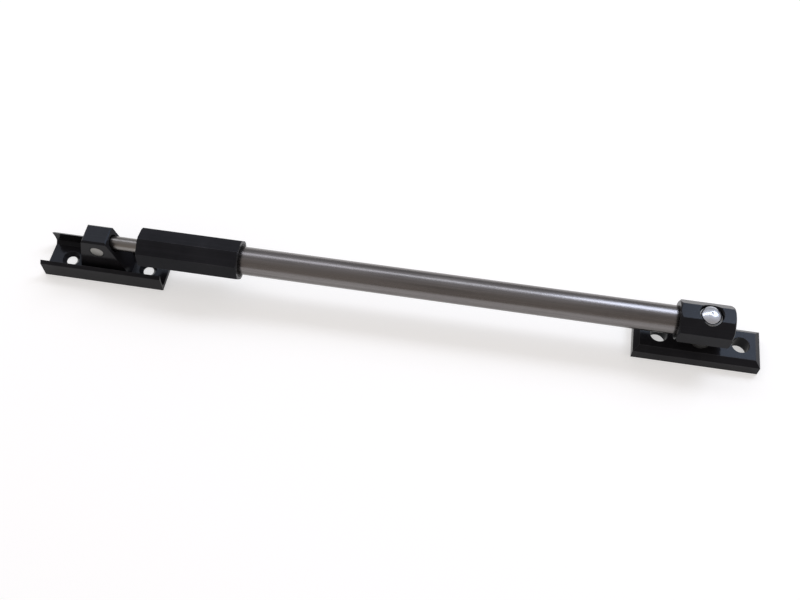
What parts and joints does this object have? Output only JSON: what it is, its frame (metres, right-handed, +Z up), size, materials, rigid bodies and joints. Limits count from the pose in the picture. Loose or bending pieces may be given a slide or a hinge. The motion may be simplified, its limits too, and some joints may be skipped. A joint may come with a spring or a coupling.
{
  "type": "telescopic window stay",
  "caption": "Telescopic window stay: a steel rod slides and turns in a brushed tube, an octagonal collar clamps it, and each end pivots on a black screw-on bracket.",
  "frame": {"origin": "on the mounting face of the frame plate, under the axis of its pivot pin", "axes": "+X along the tube from the sash rail towards the frame plate, +Z up, away from the mounting faces, +Y across the brackets"},
  "size_m": [0.3091, 0.0176, 0.0278],
  "materials": {
    "black_alloy": "satin black anodised extrusion",
    "brushed_tube": "brushed along its length",
    "ground_rod": "ground and polished",
    "bright_steel": "turned bright",
    "plain_steel": "zinc plated",
    "brass": "turned",
    "acetal": "natural acetal, machined",
    "black_nylon": "black nylon, moulded",
    "black_rubber": "black, moulded"
  },
  "bodies": {
    "stay_tube": {"tube": "brushed_tube", "end_buffer": "black_rubber", "gland": "brass", "gland_pin": "plain_steel", "pivot_block": "black_alloy", "grub_screw": "plain_steel"},
    "frame_end": {"frame_plate": "black_alloy", "pivot_pin": "bright_steel", "head_washer": "acetal", "pivot_spacer": "black_nylon"},
    "jaws": {"collet": "acetal", "thrust_ring": "plain_steel"},
    "clamp_collar": {"collar": "black_alloy", "rod_wiper": "black_rubber", "glide_bush": "black_nylon"},
    "piston": {"guide_piston": "acetal", "drag_ring": "black_rubber"},
    "sliding_rod": {"rod": "ground_rod", "stop_sleeve": "black_rubber", "piston_washer": "plain_steel", "piston_screw": "plain_steel", "rod_eye": "plain_steel"},
    "sash_end": {"sash_rail": "black_alloy", "sash_block": "black_alloy", "saddle_screws": "plain_steel", "cross_pin": "bright_steel", "eye_washers": "acetal"}
  },
  "joints": [
    {"name": "plate_swivel", "type": "hinge", "parent": "stay_tube", "child": "frame_end", "pos_m": [0, 0, 0], "axis": [0, 0, 1], "continuous": true},
    {"name": "jaw_press", "type": "slide", "parent": "stay_tube", "child": "jaws", "axis": [1, 0, 0], "range_m": [-0.00075, 0]},
    {"name": "collar_turn", "type": "hinge", "parent": "jaws", "child": "clamp_collar", "pos_m": [-0.22, 0, 0.0192], "axis": [1, 0, 0], "range_deg": [-270, 0]},
    {"name": "rod_slide", "type": "slide", "parent": "stay_tube", "child": "piston", "axis": [1, 0, 0], "range_m": [-0.16, 0.008]},
    {"name": "rod_turn", "type": "hinge", "parent": "piston", "child": "sliding_rod", "pos_m": [-0.12, 0, 0.0192], "axis": [1, 0, 0], "continuous": true},
    {"name": "sash_tip", "type": "hinge", "parent": "sliding_rod", "child": "sash_end", "pos_m": [-0.25696, 0, 0.0174], "axis": [0, 1, 0], "range_deg": [-7, 2]}
  ],
  "couplings": [
    {"joint": "collar_turn", "follows": "jaw_press", "rad_per_m": 6283.2}
  ]
}
